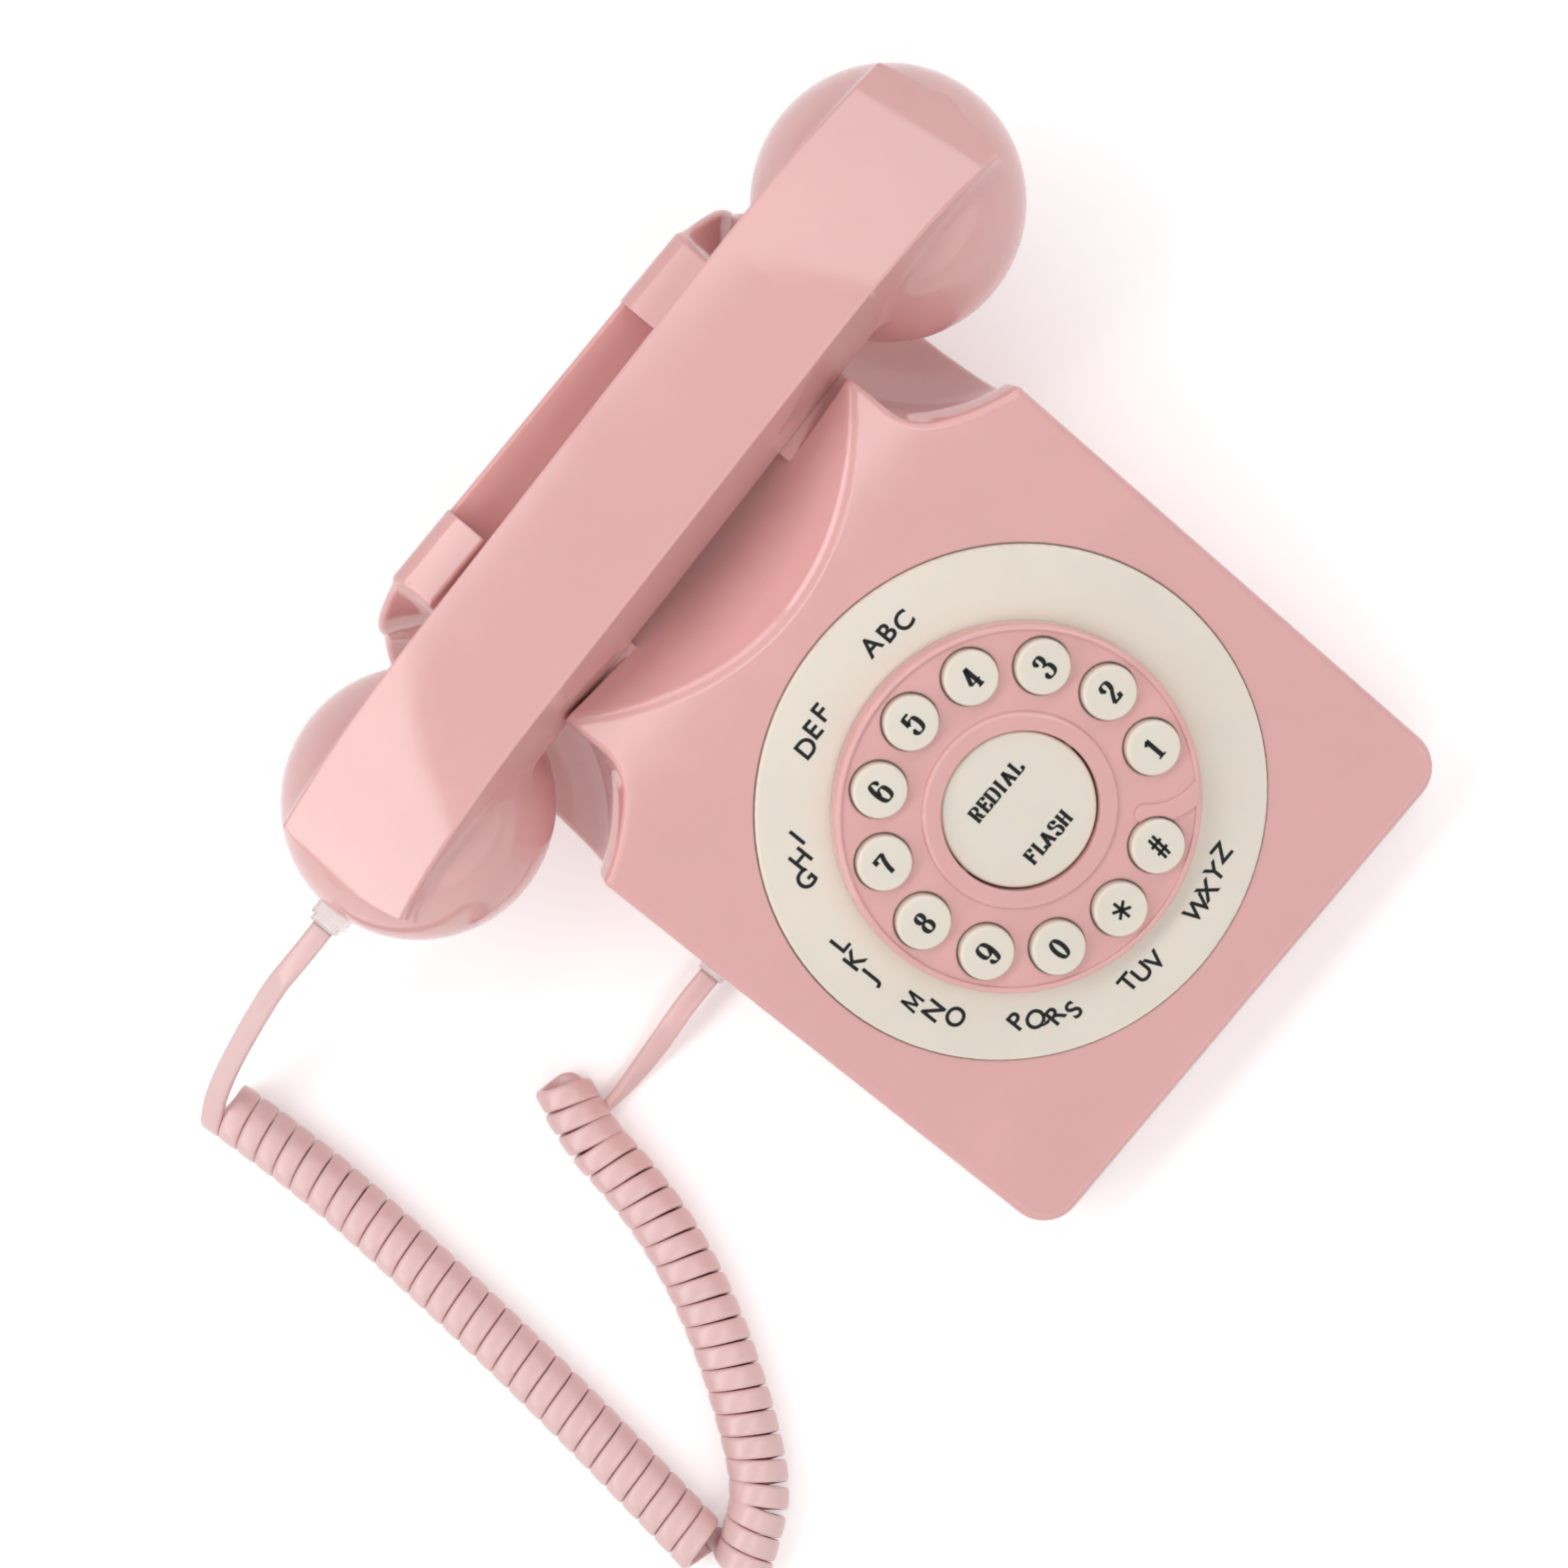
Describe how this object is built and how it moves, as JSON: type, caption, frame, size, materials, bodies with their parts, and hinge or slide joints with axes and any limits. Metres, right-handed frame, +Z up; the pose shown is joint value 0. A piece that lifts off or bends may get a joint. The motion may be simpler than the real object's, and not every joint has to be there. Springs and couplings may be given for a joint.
{
  "type": "push-button desk telephone",
  "caption": "Wedge-shaped desk telephone with round push buttons on a dial-like disc, a ball-ended handset in a cradle and a curly cord.",
  "frame": {"origin": "on the table under the middle of the case, cord left out", "axes": "+X to the user's right, +Y to the rear, +Z up; the user stands at -Y"},
  "size_m": [0.2887, 0.1979, 0.1],
  "materials": {
    "pink_plastic": "semi-gloss moulded",
    "ivory_plastic": "semi-gloss moulded",
    "cord_plastic": "satin",
    "clear_plastic": "clear",
    "dark_rubber": "matte",
    "grey_rubber": "matte",
    "circuit_board": "satin",
    "screw_steel": "plain",
    "weight_iron": "raw",
    "inner_plastic": "satin"
  },
  "bodies": {
    "base": {"upper_case": "pink_plastic", "base_plate": "pink_plastic", "dial_disc": "pink_plastic", "dial_ring": "ivory_plastic", "handset_lead": "cord_plastic", "curly_cord": "cord_plastic", "base_lead": "cord_plastic", "base_plug": "clear_plastic", "rubber_feet": "dark_rubber", "keypad_mat": "grey_rubber", "keypad_board": "circuit_board", "main_board": "circuit_board", "base_screws": "screw_steel", "keypad_screws": "screw_steel", "board_screws": "screw_steel", "hook_spring": "screw_steel", "hook_guide": "inner_plastic", "hook_switch": "inner_plastic", "ringer": "inner_plastic", "line_jack": "inner_plastic", "handset_jack": "inner_plastic"},
    "handset": {"handset_shell": "pink_plastic", "handset_cover": "pink_plastic", "earpiece_cap": "pink_plastic", "mouthpiece_cap": "pink_plastic", "receiver_capsule": "inner_plastic", "microphone_capsule": "inner_plastic", "handset_weight": "weight_iron", "handset_screws": "screw_steel", "handset_socket": "inner_plastic", "handset_plug": "clear_plastic"},
    "hook": {"hook_plungers": "inner_plastic"},
    "rocker": {"redial_flash_rocker": "ivory_plastic"},
    "key_1": {"key_1": "ivory_plastic"},
    "key_2": {"key_2": "ivory_plastic"},
    "key_3": {"key_3": "ivory_plastic"},
    "key_4": {"key_4": "ivory_plastic"},
    "key_5": {"key_5": "ivory_plastic"},
    "key_6": {"key_6": "ivory_plastic"},
    "key_7": {"key_7": "ivory_plastic"},
    "key_8": {"key_8": "ivory_plastic"},
    "key_9": {"key_9": "ivory_plastic"},
    "key_0": {"key_0": "ivory_plastic"},
    "key_star": {"key_star": "ivory_plastic"},
    "key_hash": {"key_hash": "ivory_plastic"}
  },
  "joints": [
    {"name": "handset_lift", "type": "slide", "parent": "base", "child": "handset", "axis": [0, 0, 1], "range_m": [0, 0.09]},
    {"name": "hook_travel", "type": "slide", "parent": "base", "child": "hook", "axis": [0, 0, 1], "range_m": [0, 0.004], "stiffness_N_per_m": 60, "springref_m": 0.006, "deforming": ["hook_spring"]},
    {"name": "rocker_tilt", "type": "hinge", "parent": "base", "child": "rocker", "pos_m": [0, -0.03437, 0.05352], "axis": [1, 0, 0], "range_deg": [-3, 3], "stiffness_Nm_per_rad": 0.13, "deforming": ["keypad_mat"]},
    {"name": "key_1_press", "type": "slide", "parent": "base", "child": "key_1", "axis": [0, 0.3584, -0.9336], "range_m": [0, 0.0016], "stiffness_N_per_m": 375, "springref_m": -0.0003, "deforming": ["keypad_mat"]},
    {"name": "key_2_press", "type": "slide", "parent": "base", "child": "key_2", "axis": [0, 0.3584, -0.9336], "range_m": [0, 0.0016], "stiffness_N_per_m": 375, "springref_m": -0.0003, "deforming": ["keypad_mat"]},
    {"name": "key_3_press", "type": "slide", "parent": "base", "child": "key_3", "axis": [0, 0.3584, -0.9336], "range_m": [0, 0.0016], "stiffness_N_per_m": 375, "springref_m": -0.0003, "deforming": ["keypad_mat"]},
    {"name": "key_4_press", "type": "slide", "parent": "base", "child": "key_4", "axis": [0, 0.3584, -0.9336], "range_m": [0, 0.0016], "stiffness_N_per_m": 375, "springref_m": -0.0003, "deforming": ["keypad_mat"]},
    {"name": "key_5_press", "type": "slide", "parent": "base", "child": "key_5", "axis": [0, 0.3584, -0.9336], "range_m": [0, 0.0016], "stiffness_N_per_m": 375, "springref_m": -0.0003, "deforming": ["keypad_mat"]},
    {"name": "key_6_press", "type": "slide", "parent": "base", "child": "key_6", "axis": [0, 0.3584, -0.9336], "range_m": [0, 0.0016], "stiffness_N_per_m": 375, "springref_m": -0.0003, "deforming": ["keypad_mat"]},
    {"name": "key_7_press", "type": "slide", "parent": "base", "child": "key_7", "axis": [0, 0.3584, -0.9336], "range_m": [0, 0.0016], "stiffness_N_per_m": 375, "springref_m": -0.0003, "deforming": ["keypad_mat"]},
    {"name": "key_8_press", "type": "slide", "parent": "base", "child": "key_8", "axis": [0, 0.3584, -0.9336], "range_m": [0, 0.0016], "stiffness_N_per_m": 375, "springref_m": -0.0003, "deforming": ["keypad_mat"]},
    {"name": "key_9_press", "type": "slide", "parent": "base", "child": "key_9", "axis": [0, 0.3584, -0.9336], "range_m": [0, 0.0016], "stiffness_N_per_m": 375, "springref_m": -0.0003, "deforming": ["keypad_mat"]},
    {"name": "key_0_press", "type": "slide", "parent": "base", "child": "key_0", "axis": [0, 0.3584, -0.9336], "range_m": [0, 0.0016], "stiffness_N_per_m": 375, "springref_m": -0.0003, "deforming": ["keypad_mat"]},
    {"name": "key_star_press", "type": "slide", "parent": "base", "child": "key_star", "axis": [0, 0.3584, -0.9336], "range_m": [0, 0.0016], "stiffness_N_per_m": 375, "springref_m": -0.0003, "deforming": ["keypad_mat"]},
    {"name": "key_hash_press", "type": "slide", "parent": "base", "child": "key_hash", "axis": [0, 0.3584, -0.9336], "range_m": [0, 0.0016], "stiffness_N_per_m": 375, "springref_m": -0.0003, "deforming": ["keypad_mat"]}
  ],
  "couplings": [
    {"joint": "hook_travel", "follows": "handset_lift", "ratio": 0.044444}
  ]
}
